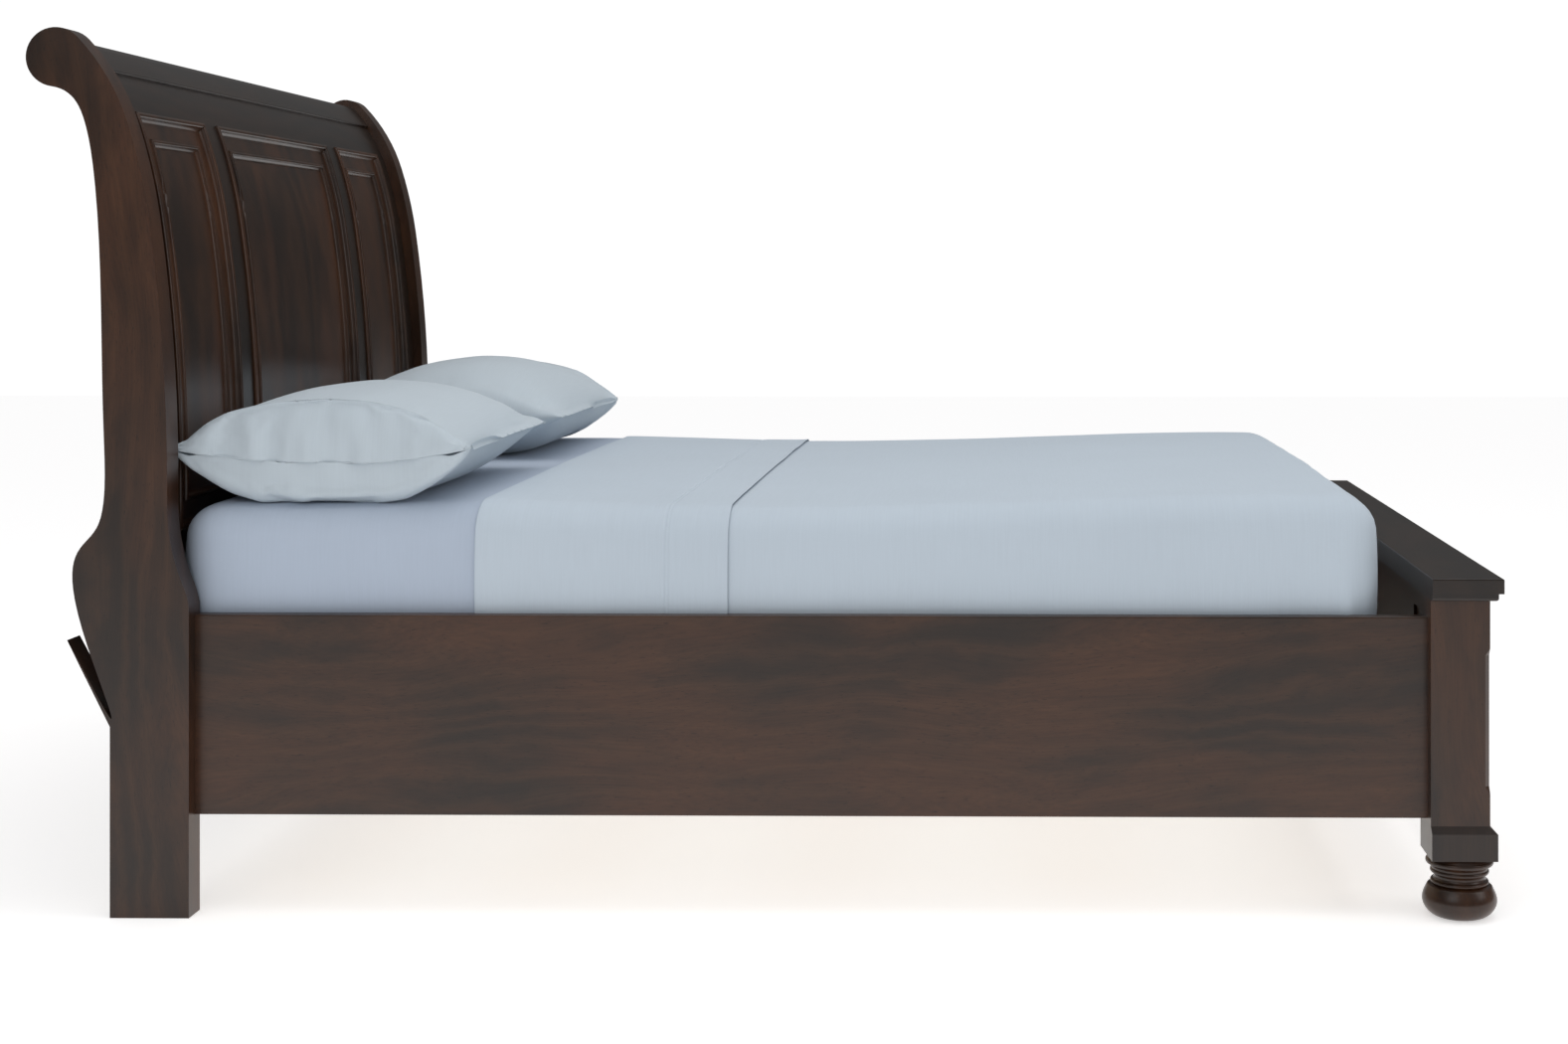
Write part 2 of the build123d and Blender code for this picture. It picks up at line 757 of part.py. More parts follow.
beyond_x = bed_foot_x + 100
save(cloth_layer(0.3, 1.3, (-beyond_x, beyond_x)), "fitted_sheet")
with BuildPart() as top_sheet:
    add(cloth_layer(1.6, 2.6, (fold_x, beyond_x)))
    add(cloth_layer(5.2, 6.2, (fold_x, cuff_hem_x)))
    add(cloth_layer(1.6, 6.2, (fold_x, fold_x + 1.2)))
save(top_sheet.part, "top_sheet")
save(cloth_layer(2.9, 4.9, (fold_x + 1.5, beyond_x)), "coverlet")

sheet_top_z = mattress_z[1] + 1.3
for name, y in pillow_ys.items():
    with BuildPart() as pillow:
        with Locations((pillow_x, y, sheet_top_z + soft_gap + pillow_size[2] / 2)):
            Box(*pillow_size)
        fillet(pillow.edges().filter_by(Axis.Z), pillow_corner)
        fillet(pillow.faces().filter_by(Axis.Z).edges(), pillow_roll)
    save(pillow.part, f"pillow_{name}")
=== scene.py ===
"""Looks of the sleigh bed: wood, bedding, light and camera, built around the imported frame."""
import math

import bmesh
import bpy
import numpy as np
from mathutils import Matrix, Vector, noise


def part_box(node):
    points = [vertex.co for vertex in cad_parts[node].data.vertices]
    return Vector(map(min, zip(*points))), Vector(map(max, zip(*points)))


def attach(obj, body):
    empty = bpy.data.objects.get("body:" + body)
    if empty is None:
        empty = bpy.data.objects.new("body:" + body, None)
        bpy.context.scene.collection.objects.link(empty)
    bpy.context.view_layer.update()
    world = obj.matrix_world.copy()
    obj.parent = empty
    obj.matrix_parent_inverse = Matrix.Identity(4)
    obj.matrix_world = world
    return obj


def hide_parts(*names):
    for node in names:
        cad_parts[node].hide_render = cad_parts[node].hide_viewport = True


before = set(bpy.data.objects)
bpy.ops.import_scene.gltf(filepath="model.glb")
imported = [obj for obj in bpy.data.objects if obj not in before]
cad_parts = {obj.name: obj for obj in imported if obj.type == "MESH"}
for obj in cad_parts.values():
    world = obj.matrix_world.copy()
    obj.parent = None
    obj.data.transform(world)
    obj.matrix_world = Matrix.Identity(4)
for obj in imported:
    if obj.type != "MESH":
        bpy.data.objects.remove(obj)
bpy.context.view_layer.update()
scene = bpy.context.scene


# ---------------------------------------------------------------- camera, light and floor
def make_camera():
    """Camera at eye height beside the bed, looking straight across it."""
    data = bpy.data.cameras.new("camera")
    data.sensor_width = 36.0
    data.lens = 50.25
    data.shift_x = -0.1262
    data.shift_y = -0.1626
    data.clip_start = 0.05
    data.clip_end = 60.0
    camera = bpy.data.objects.new("camera", data)
    camera.location = (0.415, -4.4715, 1.0904)
    camera.rotation_euler = (math.radians(90), 0, 0.0127)
    scene.collection.objects.link(camera)
    scene.camera = camera


def area_light(name, place, target, size, watts):
    """Soft rectangular light at a place, aimed at a target."""
    data = bpy.data.lights.new(name, "AREA")
    data.shape = "RECTANGLE"
    data.size, data.size_y = size
    data.energy = watts
    light = bpy.data.objects.new(name, data)
    light.location = place
    aim = Vector(target) - Vector(place)
    light.rotation_euler = aim.to_track_quat("-Z", "Y").to_euler()
    scene.collection.objects.link(light)


# Strength of the studio's light at the horizon and overhead, for reflections and for fill
GLOSSY_FILL = (0.02, 0.42)
DIFFUSE_FILL = (0.36, 0.62)


def make_world():
    """White backdrop for the eye; a dimmer studio, bright overhead, for what the bed reflects."""
    world = bpy.data.worlds.new("studio")
    scene.world = world
    world.use_nodes = True
    tree = world.node_tree
    tree.nodes.clear()
    path = tree.nodes.new("ShaderNodeLightPath")
    coords = tree.nodes.new("ShaderNodeTexCoord")
    split = tree.nodes.new("ShaderNodeSeparateXYZ")
    tree.links.new(coords.outputs["Generated"], split.inputs[0])
    fills = []
    for low, high in (GLOSSY_FILL, DIFFUSE_FILL):
        ramp = tree.nodes.new("ShaderNodeMapRange")
        ramp.inputs["From Min"].default_value = -0.05
        ramp.inputs["From Max"].default_value = 0.9
        ramp.inputs["To Min"].default_value = low
        ramp.inputs["To Max"].default_value = high
        tree.links.new(split.outputs["Z"], ramp.inputs["Value"])
        fill = tree.nodes.new("ShaderNodeBackground")
        fill.inputs["Color"].default_value = (0.97, 0.985, 1.0, 1)
        tree.links.new(ramp.outputs[0], fill.inputs["Strength"])
        fills.append(fill)
    backdrop = tree.nodes.new("ShaderNodeBackground")
    backdrop.inputs["Color"].default_value = (1, 1, 1, 1)
    backdrop.inputs["Strength"].default_value = 1.05
    gloss_or_fill = tree.nodes.new("ShaderNodeMixShader")
    tree.links.new(path.outputs["Is Glossy Ray"], gloss_or_fill.inputs[0])
    tree.links.new(fills[1].outputs[0], gloss_or_fill.inputs[1])
    tree.links.new(fills[0].outputs[0], gloss_or_fill.inputs[2])
    seen = tree.nodes.new("ShaderNodeMixShader")
    tree.links.new(path.outputs["Is Camera Ray"], seen.inputs[0])
    tree.links.new(gloss_or_fill.outputs[0], seen.inputs[1])
    tree.links.new(backdrop.outputs[0], seen.inputs[2])
    out = tree.nodes.new("ShaderNodeOutputWorld")
    tree.links.new(seen.outputs[0], out.inputs["Surface"])


def make_floor():
    """Pale floor, a little luminous, so that it fades into the white backdrop."""
    mesh = bpy.data.meshes.new("floor")
    reach = 14.0
    corners = [(-reach, -reach, 0), (reach, -reach, 0), (reach, reach, 0), (-reach, reach, 0)]
    mesh.from_pydata(corners, [], [(0, 1, 2, 3)])
    floor = bpy.data.objects.new("floor", mesh)
    scene.collection.objects.link(floor)
    material = bpy.data.materials.new("floor")
    material.use_nodes = True
    shader = material.node_tree.nodes["Principled BSDF"]
    shader.inputs["Base Color"].default_value = (0.86, 0.85, 0.845, 1)
    shader.inputs["Roughness"].default_value = 0.9
    shader.inputs["Specular IOR Level"].default_value = 0.1
    shader.inputs["Emission Color"].default_value = (1, 0.99, 0.985, 1)
    shader.inputs["Emission Strength"].default_value = 0.52
    mesh.materials.append(material)


scene.view_settings.view_transform = "Standard"
make_camera()
make_world()
make_floor()
area_light("overhead", (0.3, -0.4, 3.4), (0.1, 0, 0.5), (3.6, 2.6), 40)
area_light("front", (-1.2, -4.2, 2.6), (0, 0, 0.6), (2.6, 1.6), 17)
area_light("foot_side", (3.6, -1.6, 2.0), (-0.6, 0, 0.8), (1.4, 1.8), 14)


# ---------------------------------------------------------------- material helpers
class Shader:
    """A material with a Principled shader, and short calls that add nodes to it."""

    def __init__(self, name, **values):
        self.material = bpy.data.materials.new(name)
        self.material.use_nodes = True
        self.tree = self.material.node_tree
        self.surface = self.tree.nodes["Principled BSDF"]
        for socket, value in values.items():
            self.surface.inputs[socket.replace("_", " ")].default_value = value

    def add(self, kind, settings=None, **inputs):
        """Adds a node; inputs are values or sockets, by socket name with _ for spaces."""
        node = self.tree.nodes.new("ShaderNode" + kind)
        for key, value in (settings or {}).items():
            setattr(node, key, value)
        for key, value in inputs.items():
            socket = node.inputs[int(key[1:])] if key[1:].isdigit() else node.inputs[key.replace("_", " ")]
            if isinstance(value, bpy.types.NodeSocket):
                self.tree.links.new(value, socket)
            else:
                socket.default_value = value
        return node

    def math(self, operation, first, second=0.0, third=0.0):
        """One math node's output; only the multiply-add uses its third input."""
        settings = {"operation": operation}
        return self.add("Math", settings, _0=first, _1=second, _2=third).outputs[0]

    def ramp(self, value, stops):
        """Colour ramp over (position, colour) stops."""
        node = self.add("ValToRGB", Fac=value)
        ramp = node.color_ramp
        while len(ramp.elements) < len(stops):
            ramp.elements.new(0.5)
        for element, (position, colour) in zip(ramp.elements, stops):
            element.position = position
            element.color = (*colour, 1)
        return node.outputs["Color"]

    def mix(self, factor, first, second, blend="MIX"):
        """Colour mix of two sockets or colours."""
        node = self.tree.nodes.new("ShaderNodeMix")
        node.data_type = "RGBA"
        node.blend_type = blend
        for socket, value in zip((node.inputs[0], node.inputs[6], node.inputs[7]), (factor, first, second)):
            if isinstance(value, bpy.types.NodeSocket):
                self.tree.links.new(value, socket)
            else:
                socket.default_value = value if isinstance(value, float) else (*value, 1)
        return node.outputs[2]

    def set(self, socket, value):
        """Links a value to the shader."""
        self.tree.links.new(value, self.surface.inputs[socket])

    def bump(self, height, strength, distance, normal=None):
        """Bump node on the shader's normal, stacked on another if one is given."""
        node = self.add("Bump", Height=height, Strength=strength, Distance=distance)
        if normal is not None:
            self.tree.links.new(normal, node.inputs["Normal"])
        self.tree.links.new(node.outputs[0], self.surface.inputs["Normal"])
        return node.outputs[0]


GRAIN_TURN = {"x": (0, 0, 0), "y": (0, 0, math.pi / 2), "z": (0, math.pi / 2, 0)}


def wood(name, grain, place, deep, warm, glow, ring_scale=7.0, roughness=0.3, mottle=1.0):
    """Stained, lacquered wood. Its rings run round an axis along the grain, off to one side."""
    shader = Shader(name, Roughness=roughness, IOR=1.5)
    coords = shader.add("TexCoord").outputs["Object"]
    tilt = Vector(GRAIN_TURN[grain]) + Vector((0.02, 0.045, 0.03))
    board = shader.add("Mapping", Vector=coords, Location=place, Rotation=tilt).outputs[0]
    stretched = shader.add("Mapping", Vector=board, Scale=(0.9, 3.2, 3.2)).outputs[0]
    drift = shader.add("TexNoise", Vector=stretched, Scale=1.1, Detail=2.0).outputs["Color"]
    wander = shader.add("VectorMath", {"operation": "SCALE"}, _0=drift, Scale=0.34).outputs[0]
    warped = shader.add("VectorMath", {"operation": "ADD"}, _0=board, _1=wander).outputs[0]
    rings = shader.add(
        "TexWave",
        {"wave_type": "RINGS", "rings_direction": "X"},
        Vector=warped,
        Scale=ring_scale,
        Distortion=3.2,
        Detail=3.0,
        Detail_Scale=1.6,
    ).outputs["Fac"]
    figure = shader.math("POWER", rings, 1.7)
    fibre_coords = shader.add("Mapping", Vector=warped, Scale=(7.0, 260.0, 260.0)).outputs[0]
    fibre = shader.add("TexNoise", Vector=fibre_coords, Scale=1.0, Detail=3.0).outputs["Fac"]
    pore_coords = shader.add("Mapping", Vector=board, Scale=(75.0, 620.0, 620.0)).outputs[0]
    pores = shader.add("TexNoise", Vector=pore_coords, Scale=1.0, Detail=1.0).outputs["Fac"]
    pore_spots = shader.add(
        "MapRange", Value=pores, From_Min=0.66, From_Max=0.74, To_Min=0.0, To_Max=1.0
    ).outputs[0]
    cloud_coords = shader.add("Mapping", Vector=board, Scale=(1.5, 4.2, 4.2)).outputs[0]
    cloud = shader.add("TexNoise", Vector=cloud_coords, Scale=1.25, Detail=3.5, Roughness=0.6)
    blotch = shader.add(
        "MapRange",
        {"interpolation_type": "SMOOTHSTEP"},
        Value=cloud.outputs["Fac"],
        From_Min=0.36,
        From_Max=0.68,
        To_Min=0.0,
        To_Max=mottle,
    ).outputs[0]
    stain = shader.mix(blotch, deep, warm)
    lit = shader.mix(shader.math("MULTIPLY", figure, 0.22), stain, glow)
    streak = shader.math("MULTIPLY_ADD", fibre, 0.9, 0.55)
    fibred = shader.mix(1.0, lit, streak, "MULTIPLY")
    coloured = shader.mix(shader.math("MULTIPLY", pore_spots, 0.6), fibred, tuple(c * 0.3 for c in deep))
    shader.set("Base Color", coloured)
    sheen_spots = shader.math("MULTIPLY_ADD", cloud.outputs["Fac"], 0.12, roughness - 0.06)
    shader.set("Roughness", sheen_spots)
    relief = shader.math("SUBTRACT", shader.math("MULTIPLY", fibre, 0.5), pore_spots)
    shader.bump(relief, 0.16, 0.0003)
    return shader.material


def fabric(name, colour, pitch=0.0011, roughness=0.8, sheen=0.12, weave=0.25, mottle=0.06):
    """Plain woven cotton: crossing threads, faint slubs and a soft sheen."""
    shader = Shader(name, Roughness=roughness, Sheen_Weight=sheen, Sheen_Roughness=0.5, IOR=1.4)
    coords = shader.add("TexCoord").outputs["Object"]
    shifts = shader.add("TexNoise", Vector=coords, Scale=60.0, Detail=2.0).outputs["Color"]
    small = shader.add("VectorMath", {"operation": "SCALE"}, _0=shifts, Scale=0.0012).outputs[0]
    moved = shader.add("VectorMath", {"operation": "ADD"}, _0=coords, _1=small).outputs[0]
    threads = None
    for direction in "XYZ":
        settings = {"wave_type": "BANDS", "bands_direction": direction}
        wave = shader.add("TexWave", settings, Vector=moved, Scale=0.314 / pitch).outputs["Fac"]
        threads = wave if threads is None else shader.math("ADD", threads, wave)
    slub_coords = shader.add("Mapping", Vector=coords, Scale=(420.0, 14.0, 14.0)).outputs[0]
    slubs = shader.add("TexNoise", Vector=slub_coords, Scale=1.0, Detail=2.0).outputs["Fac"]
    cloud = shader.add("TexNoise", Vector=coords, Scale=3.0, Detail=3.0).outputs["Fac"]
    shade = shader.math("MULTIPLY_ADD", cloud, mottle, 1.0 - mottle / 2)
    slubbed = shader.math("MULTIPLY_ADD", slubs, 0.07, shade)
    dimmed = shader.math("SUBTRACT", slubbed, 0.035)
    shader.set("Base Color", shader.mix(1.0, colour, dimmed, "MULTIPLY"))
    weave_bump = shader.bump(threads, weave, 0.00015)
    shader.bump(slubs, 0.12, 0.0004, weave_bump)
    return shader.material


def metal(name, colour, roughness):
    """Zinc-plated steel with a spangled, slightly uneven finish."""
    shader = Shader(name, Metallic=1.0, Roughness=roughness)
    coords = shader.add("TexCoord").outputs["Object"]
    spangle = shader.add("TexVoronoi", Vector=coords, Scale=140.0).outputs["Distance"]
    shader.set("Base Color", shader.ramp(spangle, [(0.0, colour), (1.0, tuple(c * 0.75 for c in colour))]))
    uneven = shader.add("TexNoise", Vector=coords, Scale=90.0, Detail=3.0).outputs["Fac"]
    shader.bump(uneven, 0.1, 0.0004)
    return shader.material


def plastic(name, colour):
    """Moulded plastic with a fine texture."""
    shader = Shader(name, Roughness=0.5)
    coords = shader.add("TexCoord").outputs["Object"]
    grit = shader.add("TexNoise", Vector=coords, Scale=900.0, Detail=2.0).outputs["Fac"]
    shader.set("Base Color", shader.ramp(grit, [(0.3, tuple(c * 0.8 for c in colour)), (0.7, colour)]))
    shader.bump(grit, 0.15, 0.0003)
    return shader.material


# ---------------------------------------------------------------- wood and hardware of the frame
DEEP = (0.0135, 0.0056, 0.0023)
WARM = (0.050, 0.0175, 0.0062)
GLOW = (0.078, 0.031, 0.0115)
DARK_DEEP = (0.0085, 0.0044, 0.0024)
DARK_WARM = (0.017, 0.0075, 0.0036)
DARK_GLOW = (0.030, 0.0145, 0.0078)

WOODS = {
    "rail_wood": (("x", (0.3, 0.55, -0.1), DEEP, WARM, GLOW), ("side_rail",)),
    "post_wood": (("z", (0.2, 0.4, 0.35), DEEP, WARM, GLOW), ("head_post", "foot_post", "bun_foot")),
    "panel_wood": (("z", (0.7, 0.15, 0.5), DEEP, WARM, GLOW), ("head_panel", "head_lower_panel")),
    "upright_wood": (("z", (0.1, 0.3, 0.8), DARK_DEEP, DARK_WARM, DARK_GLOW), ("head_stile", "head_muntin")),
    "trim_wood": (("z", (0.4, 0.6, 0.2), DEEP, WARM, GLOW), ("head_trim",)),
    "crest_wood": (
        ("y", (0.35, 0.2, 0.45), DARK_DEEP, DARK_WARM, DARK_GLOW),
        ("crest_rail", "frieze_rail", "head_bottom_rail", "head_stretcher"),
    ),
    "cap_wood": (("y", (0.5, 0.3, 0.25), DARK_DEEP, DARK_WARM, DARK_GLOW), ("foot_cap", "foot_subcap")),
    "plinth_wood": (("z", (0.6, 0.1, 0.15), DARK_DEEP, DARK_WARM, DARK_GLOW), ("foot_plinth",)),
    "foot_board_wood": (
        ("y", (0.25, 0.45, 0.1), DEEP, WARM, GLOW),
        ("foot_top_rail", "foot_bottom_rail", "foot_panel", "foot_trim"),
    ),
    "foot_muntin_wood": (("z", (0.15, 0.7, 0.3), DEEP, WARM, GLOW), ("foot_muntin",)),
}
PINE = ((0.44, 0.29, 0.15), (0.56, 0.39, 0.21), (0.40, 0.24, 0.11))


def dress(material, prefixes):
    """Gives every CAD node whose name starts with one of the prefixes this material."""
    for name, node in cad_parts.items():
        if name.startswith(tuple(prefixes)):
            node.data.materials.clear()
            node.data.materials.append(material)


for wood_name, (settings, prefixes) in WOODS.items():
    dress(wood(wood_name, *settings), prefixes)
dress(wood("slat_pine", "y", (0.3, 0.2, 0.1), *PINE, ring_scale=11.0, roughness=0.62), ("slat_",))
dress(wood("cleat_pine", "x", (0.1, 0.4, 0.2), *PINE, ring_scale=11.0, roughness=0.62), ("slat_cleat",))
dress(wood("leg_pine", "z", (0.5, 0.1, 0.3), *PINE, ring_scale=11.0, roughness=0.62), ("center_leg",))
dress(metal("zinc_plate", (0.56, 0.56, 0.57), 0.36), ("hook_plates", "keeper_plates"))
dress(metal("screw_steel", (0.50, 0.50, 0.49), 0.30), ("plate_screws", "support_screws"))
dress(plastic("glide_plastic", (0.035, 0.035, 0.037)), ("leg_glides",))


# ---------------------------------------------------------------- mesh helpers
def smooth(low, high, value):
    """Smoothstep from 0 at low to 1 at high; low may be the larger one."""
    t = np.clip((np.asarray(value, float) - low) / (high - low), 0, 1)
    return t * t * (3 - 2 * t)


def bump_at(centre, width, value):
    """Bell of height 1 at a centre."""
    return np.exp(-(((np.asarray(value, float) - centre) / width) ** 2))


def rough(points, scale, seed):
    """Smooth noise in -1..1 at points, with a scale per axis."""
    stretched = np.asarray(points) * np.asarray(scale) + seed
    return np.array([noise.noise(Vector(p)) for p in stretched])


def make_piece(name, points, quads, body, material, weld=0.0):
    """Mesh object on a body, smooth shaded, with its material and slot."""
    mesh = bpy.data.meshes.new(name)
    mesh.from_pydata([tuple(p) for p in points], [], [tuple(int(i) for i in q) for q in quads])
    if weld:
        work = bmesh.new()
        work.from_mesh(mesh)
        bmesh.ops.remove_doubles(work, verts=work.verts, dist=weld)
        bmesh.ops.dissolve_degenerate(work, edges=work.edges, dist=weld / 4)
        bmesh.ops.recalc_face_normals(work, faces=work.faces)
        work.to_mesh(mesh)
        work.free()
    mesh.polygons.foreach_set("use_smooth", [True] * len(mesh.polygons))
    mesh.materials.append(material)
    mesh.update()
    piece = bpy.data.objects.new(name, mesh)
    scene.collection.objects.link(piece)
    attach(piece, body)
    return piece


def grid_quads(rows, columns, wrap=False):
    """Quads of a rows x columns grid of points; wrap joins the last column to the first."""
    quads = []
    for i in range(rows - 1):
        for j in range(columns if wrap else columns - 1):
            k = (j + 1) % columns
            quads.append((i * columns + j, (i + 1) * columns + j,
                          (i + 1) * columns + k, i * columns + k))
    return quads


def spaced(low, high, pitch):
    """Even stations from low to high, about a pitch apart."""
    return np.linspace(low, high, max(2, int(round((high - low) / pitch)) + 1))


def box_lattice(xs, ys, zs, head_open=False, tuck=None):
    """Points and quads of a box's outside. tuck keeps only that width of the underside."""
    points, quads, index = [], [], {}

    def corner(i, j, k):
        if (i, j, k) not in index:
            index[(i, j, k)] = len(points)
            points.append((xs[i], ys[j], zs[k]))
        return index[(i, j, k)]

    last_i, last_j, last_k = len(xs) - 1, len(ys) - 1, len(zs) - 1
    for i in range(last_i):
        for j in range(last_j):
            quads.append([corner(i, j, last_k), corner(i + 1, j, last_k),
                          corner(i + 1, j + 1, last_k), corner(i, j + 1, last_k)])
            edge = min(ys[j] - ys[0], ys[-1] - ys[j + 1], xs[-1] - xs[i + 1])
            if not head_open:
                edge = min(edge, xs[i] - xs[0])
            if tuck is None or edge < tuck:
                quads.append([corner(i, j, 0), corner(i, j + 1, 0),
                              corner(i + 1, j + 1, 0), corner(i + 1, j, 0)])
    for i in range(last_i):
        for k in range(last_k):
            quads.append([corner(i, 0, k), corner(i + 1, 0, k),
                          corner(i + 1, 0, k + 1), corner(i, 0, k + 1)])
            quads.append([corner(i, last_j, k), corner(i, last_j, k + 1),
                          corner(i + 1, last_j, k + 1), corner(i + 1, last_j, k)])
    for j in range(last_j):
        for k in range(last_k):
            quads.append([corner(last_i, j, k), corner(last_i, j + 1, k),
                          corner(last_i, j + 1, k + 1), corner(last_i, j, k + 1)])
            if not head_open:
                quads.append([corner(0, j, k), corner(0, j, k + 1),
                              corner(0, j + 1, k + 1), corner(0, j + 1, k)])
    return np.array(points), quads


# ---------------------------------------------------------------- mattress and sheets
BED_LOW, BED_HIGH = (np.array(corner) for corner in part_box("mattress"))
BED_RISE = BED_HIGH[2] - BED_LOW[2]
FOLD_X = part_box("top_sheet")[0].x
CUFF_X = FOLD_X + 0.429
HEM_DEPTH = 0.105
EDGE_ROUND = 0.062
TOP_ROUND = 0.052
UNDER_ROUND = 0.022
BARREL = 0.009
FITTED_OUT, SHEET_OUT, COVERLET_OUT, CUFF_OUT = 0.0012, 0.0026, 0.0042, 0.0066
TUCK = 0.12
PITCH = 0.013


def bed_form(points, growth):
    """Points of the mattress's box, moved onto its rounded, slightly settled form."""
    points = np.asarray(points, float)
    growth = np.broadcast_to(np.asarray(growth, float), (len(points),))[:, None]
    radii_low = np.array([EDGE_ROUND, EDGE_ROUND, UNDER_ROUND])
    radii_high = np.array([EDGE_ROUND, EDGE_ROUND, TOP_ROUND])
    inner = np.clip(points, BED_LOW + radii_low, BED_HIGH - radii_high)
    away = points - inner
    radii = np.where(away > 0, radii_high, radii_low)
    unit = away / radii
    unit /= np.linalg.norm(unit, axis=1, keepdims=True)
    spot = inner + unit * (radii + growth)
    rise = np.clip((spot[:, 2] - BED_LOW[2]) / BED_RISE, 0, 1)
    x, y = spot[:, 0], spot[:, 1]
    # The top sits lower in the middle of the bed than under the pillows and at the foot
    crown = -0.0075 + 0.010 * smooth(-0.10, -0.55, x) + 0.022 * smooth(0.0, 0.95, x)
    crown += 0.004 * np.cos(y * 2.0)
    settle = 0.0022 * rough(spot, (2.1, 2.6, 1.2), 3.1) + 0.0011 * rough(spot, (6.5, 4.2, 5.0), 8.7)
    spot[:, 2] += crown * smooth(0.15, 1.0, rise)
    swell = BARREL * np.sin(np.pi * rise) + settle
    spot += unit * swell[:, None] * np.array([1, 1, 0.6])
    # The underside lies a little above the mattress's true bottom, to leave room for the tucks
    spot[:, 2] += 0.0062 * (1 - smooth(0.0, 0.06, rise))
    return spot


def shell_points(x_from, growth, detail=None, head_open=True):
    """A layer of bedding over the mattress from x_from to the foot, tucked in under it."""
    xs = spaced(x_from, BED_HIGH[0], PITCH)
    ys = spaced(BED_LOW[1], BED_HIGH[1], PITCH)
    zs = spaced(BED_LOW[2], BED_HIGH[2], PITCH)
    box_points, quads = box_lattice(xs, ys, zs, head_open, TUCK)
    spots = bed_form(box_points, growth)
    if detail is not None:
        spots = bed_form(box_points, growth + detail(spots))
    return spots, quads


def side_share(spots):
    """How far each point lies down the sides or the foot: 0 on top, 1 below the rolled edge."""
    return smooth(BED_HIGH[2] - 0.005, BED_HIGH[2] - 0.07, spots[:, 2])


def taut_folds(spots):
    """Soft pulled folds: down the sides, out of the foot corners and along the foot."""
    x, y, z = spots.T
    down = side_share(spots)
    foot = smooth(0.55, 1.0, x)
    ripple = rough(spots, (13.0, 1.0, 2.2), 21.0)
    drape = 0.0011 * down * ripple * (1 + 1.3 * foot)
    corner_y = np.minimum(np.abs(y - BED_LOW[1]), np.abs(y - BED_HIGH[1]))
    fan = np.sin(34 * (x + 0.7 * z) + 5 * corner_y) * bump_at(0.0, 0.16, corner_y) * foot
    across = rough(spots, (2.4, 9.0, 3.0), 33.0) * smooth(0.93, 1.02, x)
    top_pull = 0.0009 * (1 - down) * rough(spots, (1.6, 7.5, 1.0), 41.0)
    return drape + 0.0010 * fan * down + 0.0014 * across + top_pull


def corner_pleat(spots):
    """The tucked pleat that hangs at each foot corner."""
    x, y, z = spots.T
    reach = smooth(0.64, 0.52, z)
    on_side = smooth(0.69, 0.73, np.abs(y))
    groove = -0.0050 * bump_at(1.004, 0.0065, x) + 0.0042 * bump_at(0.985, 0.012, x)
    return groove * reach * on_side


def fitted_detail(spots):
    """Short gathers that run up from the elastic under the fitted sheet's hem."""
    x, y, z = spots.T
    low = smooth(0.56, 0.44, z)
    return 0.0010 * low * rough(spots, (26.0, 26.0, 4.0), 51.0) + 0.0007 * rough(spots, (3.5, 6.5, 7.0), 57.0)


def strip_across(stations, detail=None):
    """Cloth that crosses the bed, from under one side to under the other, at (x, growth) stations."""
    ys = spaced(BED_LOW[1], BED_HIGH[1], PITCH)
    zs = spaced(BED_LOW[2], BED_HIGH[2], PITCH)
    path = [(y, BED_LOW[2]) for y in ys[(ys < BED_LOW[1] + TUCK)][:0:-1]]
    path += [(BED_LOW[1], z) for z in zs]
    path += [(y, BED_HIGH[2]) for y in ys[1:-1]]
    path += [(BED_HIGH[1], z) for z in zs[::-1]]
    path += [(y, BED_LOW[2]) for y in ys[(ys > BED_HIGH[1] - TUCK)][::-1][1:]]
    box_points = np.array([(x, y, z) for x, out in stations for y, z in path])
    growth = np.repeat([out for x, out in stations], len(path))
    spots = bed_form(box_points, growth)
    if detail is not None:
        spots = bed_form(box_points, growth + detail(spots))
    return spots, grid_quads(len(stations), len(path))


def hem_detail(spots):
    """The cuff's hem: doubled cloth with two rows of stitching and faint puckers."""
    x = spots[:, 0]
    stitch_x = CUFF_X - HEM_DEPTH
    doubled = 0.0006 * smooth(stitch_x - 0.002, stitch_x + 0.002, x)
    rows = bump_at(stitch_x - 0.0032, 0.0016, x) + bump_at(stitch_x + 0.0032, 0.0016, x)
    pucker = rough(spots, (4.0, 75.0, 75.0), 61.0) * bump_at(stitch_x, 0.018, x)
    lift = 0.0012 * bump_at(CUFF_X, 0.010, x) * (1 + rough(spots, (1.0, 7.0, 7.0), 66.0))
    return doubled - 0.0011 * rows + 0.0007 * pucker + lift + taut_folds(spots)


